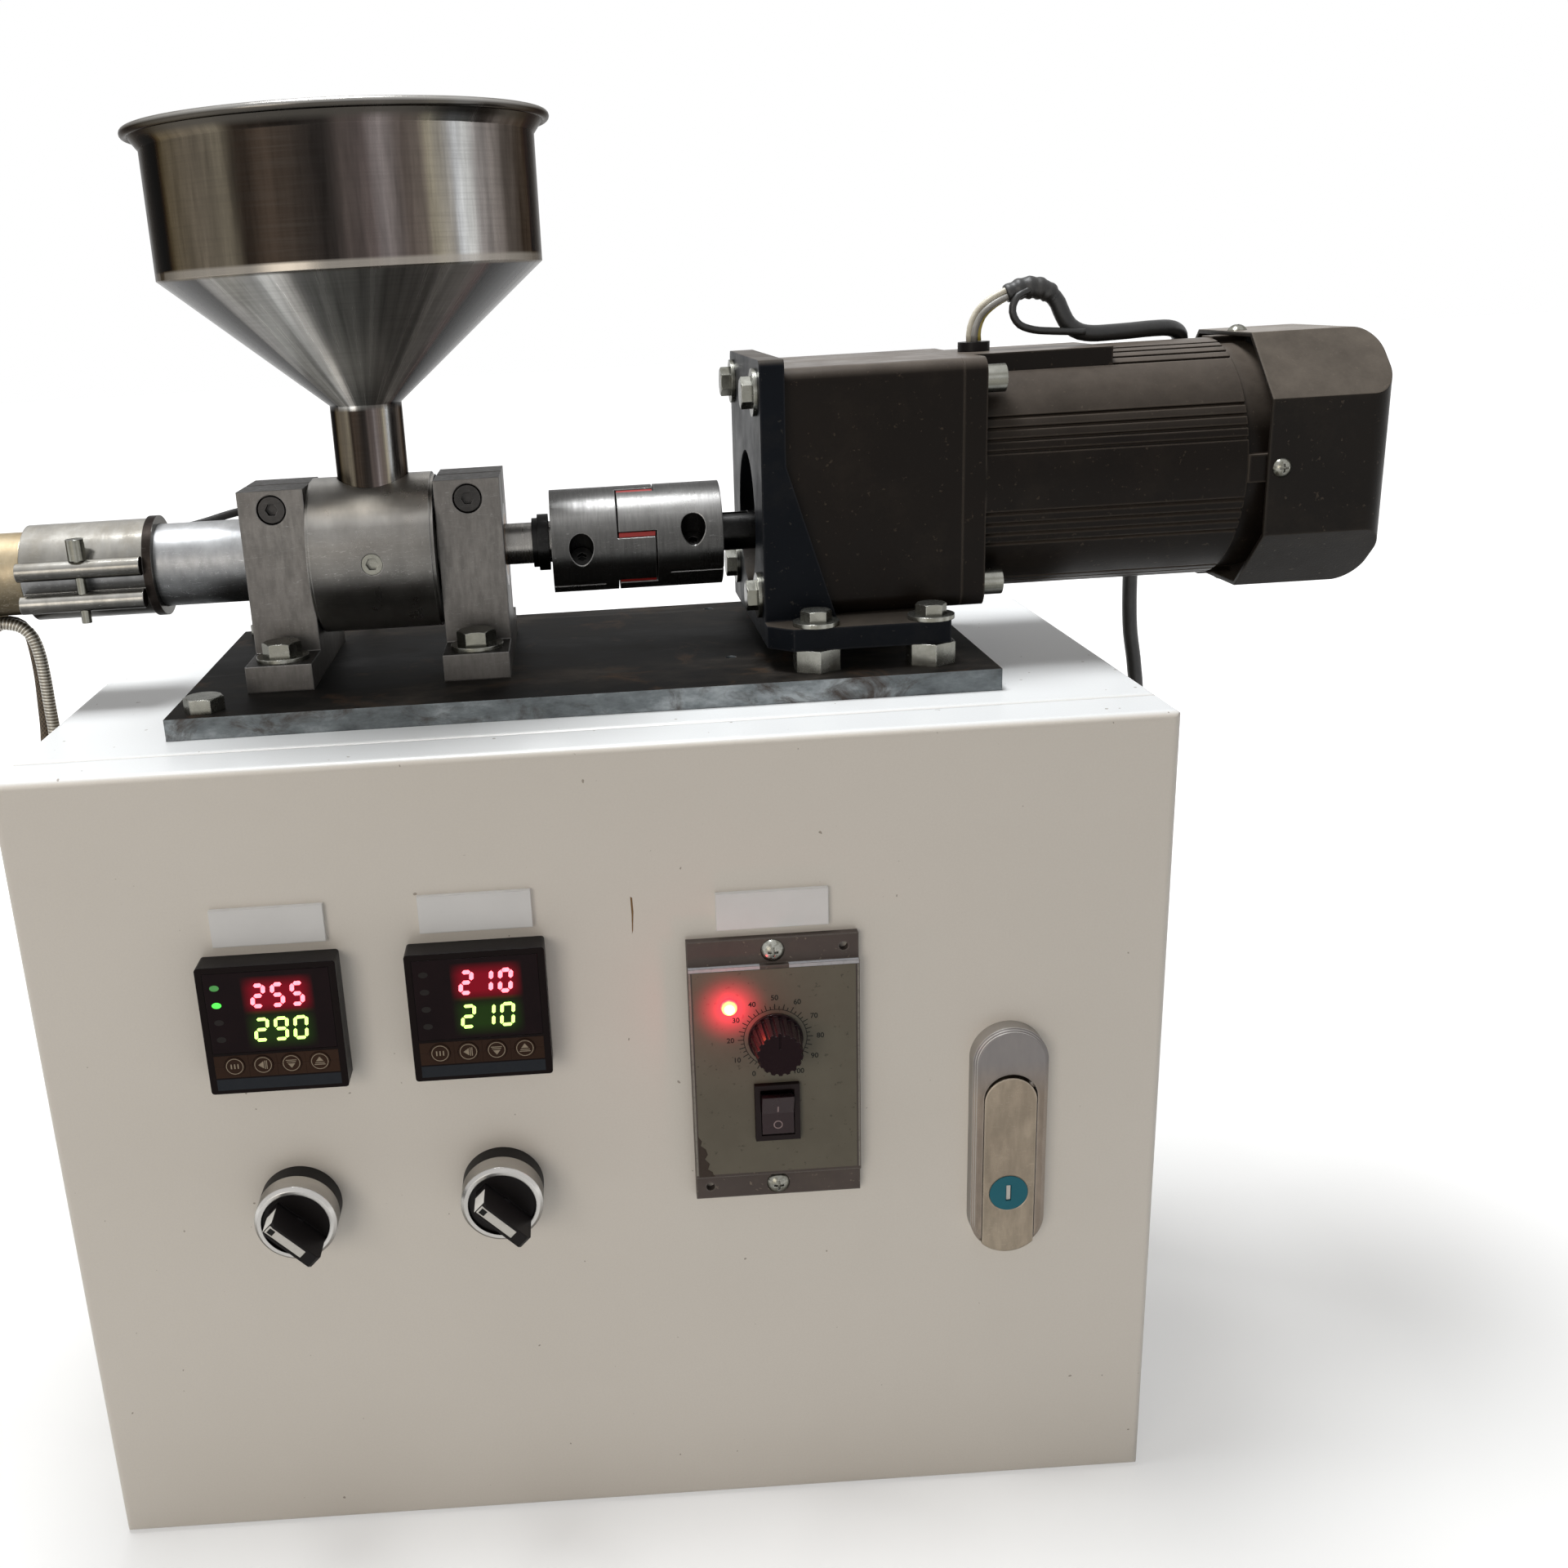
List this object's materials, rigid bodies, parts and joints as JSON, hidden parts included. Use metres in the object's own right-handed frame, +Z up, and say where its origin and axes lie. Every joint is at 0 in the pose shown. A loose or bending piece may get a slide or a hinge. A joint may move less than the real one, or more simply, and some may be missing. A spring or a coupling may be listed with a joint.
{
  "type": "plastic extruder",
  "caption": "Bench-top single-screw plastic extruder with hopper, heated barrel and gear motor on a steel control cabinet with door.",
  "frame": {"origin": "centre of the cabinet's underside", "axes": "+X to the right towards the motor, -Y out of the door, +Z up; the screw's axis runs along X"},
  "size_m": [0.5505, 0.2574, 0.5177],
  "materials": {
    "powder_coat": "white powder coat",
    "inner_steel": "zinc plate",
    "electronics": "moulded housings",
    "black_plastic": "black moulded plastic",
    "bright_zinc": "zinc plated",
    "gasket_rubber": "foam rubber",
    "acrylic": "frosted acrylic",
    "gloss_black": "glossy dark face",
    "display": "tinted display window",
    "key_brown": "soft key",
    "bezel_metal": "bright bezel",
    "panel_grey": "grey panel",
    "lamp_red": "red lamp",
    "satin_nickel": "satin nickel",
    "teal_enamel": "teal face",
    "mill_scale": "dark mill scale",
    "machined_grey": "machined steel",
    "turned_steel": "turned steel",
    "polished_band": "polished stainless",
    "brass": "worn brass",
    "bronze": "plain bearing bronze",
    "coupling_alloy": "turned aluminium",
    "spider_red": "moulded elastomer",
    "black_oxide": "black oxide",
    "spun_steel": "spun stainless",
    "bracket_black": "blue-black paint",
    "motor_black": "dark satin paint",
    "gear_steel": "hobbed steel",
    "fan_plastic": "moulded fan",
    "cover_grey": "dark grey paint",
    "lead_black": "black sleeve",
    "lead_braid": "silver braid",
    "lead_brown": "brown woven sleeve"
  },
  "bodies": {
    "machine": {"cabinet": "powder_coat", "equipment_plate": "inner_steel", "solid_state_relays": "electronics", "terminal_strip": "black_plastic", "cable_glands": "black_plastic", "hinge_pins": "bright_zinc", "base_plate": "mill_scale", "hex_bolts": "bright_zinc", "small_fasteners": "bright_zinc", "bearing_blocks": "machined_grey", "feed_housing": "turned_steel", "barrel": "turned_steel", "band_heater": "polished_band", "nozzle_heater": "brass", "die_head": "turned_steel", "screw_bearings": "bronze", "hopper": "spun_steel", "motor_bracket": "bracket_black", "gearbox_case": "motor_black", "motor_housing": "motor_black", "fan_cover": "cover_grey", "motor_lead": "lead_black", "heater_lead": "lead_black", "nozzle_lead": "lead_braid", "sensor_lead": "lead_brown"},
    "door": {"door": "powder_coat", "door_gasket": "gasket_rubber", "label_plates": "acrylic", "temp_controllers": "gloss_black", "display_windows": "display", "selector_bodies": "bezel_metal", "speed_controller": "panel_grey", "rocker_frame": "black_plastic", "power_lamp": "lamp_red", "panel_screws": "bright_zinc", "lock_escutcheon": "satin_nickel"},
    "handle": {"lock_handle": "satin_nickel"},
    "key_cylinder": {"lock_cylinder": "teal_enamel"},
    "cam": {"lock_cam": "bright_zinc"},
    "selector_1": {"selector_knob_1": "black_plastic"},
    "selector_2": {"selector_knob_2": "black_plastic"},
    "speed_dial": {"speed_knob": "black_plastic"},
    "rocker": {"rocker_switch": "gloss_black"},
    "drive": {"feed_screw": "turned_steel", "coupling_hubs": "coupling_alloy", "coupling_spider": "spider_red", "coupling_screws": "black_oxide", "output_shaft": "black_oxide"},
    "idler_1": {"idler_gear_1": "gear_steel"},
    "idler_2": {"idler_gear_2": "gear_steel"},
    "motor_rotor": {"rotor": "gear_steel", "cooling_fan": "fan_plastic"},
    "press_key_set_1": {"key_set_1": "key_brown"},
    "press_key_left_1": {"key_left_1": "key_brown"},
    "press_key_down_1": {"key_down_1": "key_brown"},
    "press_key_up_1": {"key_up_1": "key_brown"},
    "press_key_set_2": {"key_set_2": "key_brown"},
    "press_key_left_2": {"key_left_2": "key_brown"},
    "press_key_down_2": {"key_down_2": "key_brown"},
    "press_key_up_2": {"key_up_2": "key_brown"}
  },
  "joints": [
    {"name": "door_hinge", "type": "hinge", "parent": "machine", "child": "door", "pos_m": [-0.194, -0.093, 0.155], "axis": [0, 0, -1], "range_deg": [0, 90]},
    {"name": "handle_lift", "type": "hinge", "parent": "door", "child": "handle", "pos_m": [0.1435, -0.1038, 0.17516], "axis": [-1, 0, 0], "range_deg": [0, 30]},
    {"name": "key_turn", "type": "hinge", "parent": "handle", "child": "key_cylinder", "pos_m": [0.1435, -0.104, 0.1328], "axis": [0, 1, 0], "range_deg": [0, 90]},
    {"name": "cam_turn", "type": "hinge", "parent": "door", "child": "cam", "pos_m": [0.1435, -0.075, 0.17516], "axis": [0, -1, 0], "range_deg": [0, 90]},
    {"name": "selector_1_turn", "type": "hinge", "parent": "door", "child": "selector_1", "pos_m": [-0.1145, -0.11, 0.1441], "axis": [0, 1, 0], "range_deg": [0, 90]},
    {"name": "selector_2_turn", "type": "hinge", "parent": "door", "child": "selector_2", "pos_m": [-0.0405, -0.11, 0.1465], "axis": [0, 1, 0], "range_deg": [0, 90]},
    {"name": "speed_turn", "type": "hinge", "parent": "door", "child": "speed_dial", "pos_m": [0.0598, -0.11, 0.2007], "axis": [0, 1, 0], "range_deg": [-150, 150]},
    {"name": "rocker_tilt", "type": "hinge", "parent": "door", "child": "rocker", "pos_m": [0.0598, -0.1058, 0.172], "axis": [1, 0, 0], "range_deg": [-20, 0]},
    {"name": "screw_spin", "type": "hinge", "parent": "machine", "child": "drive", "pos_m": [0, 0.015, 0.3615], "axis": [1, 0, 0], "continuous": true},
    {"name": "idler_2_spin", "type": "hinge", "parent": "machine", "child": "idler_2", "pos_m": [0.1, 0.03409, 0.38059], "axis": [1, 0, 0], "continuous": true},
    {"name": "idler_1_spin", "type": "hinge", "parent": "machine", "child": "idler_1", "pos_m": [0.1, 0.01633, 0.40026], "axis": [1, 0, 0], "continuous": true},
    {"name": "rotor_spin", "type": "hinge", "parent": "machine", "child": "motor_rotor", "pos_m": [0.1, 0.015, 0.3795], "axis": [1, 0, 0], "continuous": true},
    {"name": "press_set_1", "type": "slide", "parent": "door", "child": "press_key_set_1", "axis": [0, 1, 0], "range_m": [0, 0.0004], "stiffness_N_per_m": 300, "springref_m": -0.0002},
    {"name": "press_left_1", "type": "slide", "parent": "door", "child": "press_key_left_1", "axis": [0, 1, 0], "range_m": [0, 0.0004], "stiffness_N_per_m": 300, "springref_m": -0.0002},
    {"name": "press_down_1", "type": "slide", "parent": "door", "child": "press_key_down_1", "axis": [0, 1, 0], "range_m": [0, 0.0004], "stiffness_N_per_m": 300, "springref_m": -0.0002},
    {"name": "press_up_1", "type": "slide", "parent": "door", "child": "press_key_up_1", "axis": [0, 1, 0], "range_m": [0, 0.0004], "stiffness_N_per_m": 300, "springref_m": -0.0002},
    {"name": "press_set_2", "type": "slide", "parent": "door", "child": "press_key_set_2", "axis": [0, 1, 0], "range_m": [0, 0.0004], "stiffness_N_per_m": 300, "springref_m": -0.0002},
    {"name": "press_left_2", "type": "slide", "parent": "door", "child": "press_key_left_2", "axis": [0, 1, 0], "range_m": [0, 0.0004], "stiffness_N_per_m": 300, "springref_m": -0.0002},
    {"name": "press_down_2", "type": "slide", "parent": "door", "child": "press_key_down_2", "axis": [0, 1, 0], "range_m": [0, 0.0004], "stiffness_N_per_m": 300, "springref_m": -0.0002},
    {"name": "press_up_2", "type": "slide", "parent": "door", "child": "press_key_up_2", "axis": [0, 1, 0], "range_m": [0, 0.0004], "stiffness_N_per_m": 300, "springref_m": -0.0002}
  ],
  "couplings": [
    {"joint": "idler_2_spin", "follows": "screw_spin", "ratio": -3.5},
    {"joint": "idler_1_spin", "follows": "screw_spin", "ratio": 10.769},
    {"joint": "rotor_spin", "follows": "screw_spin", "ratio": -35.897}
  ]
}
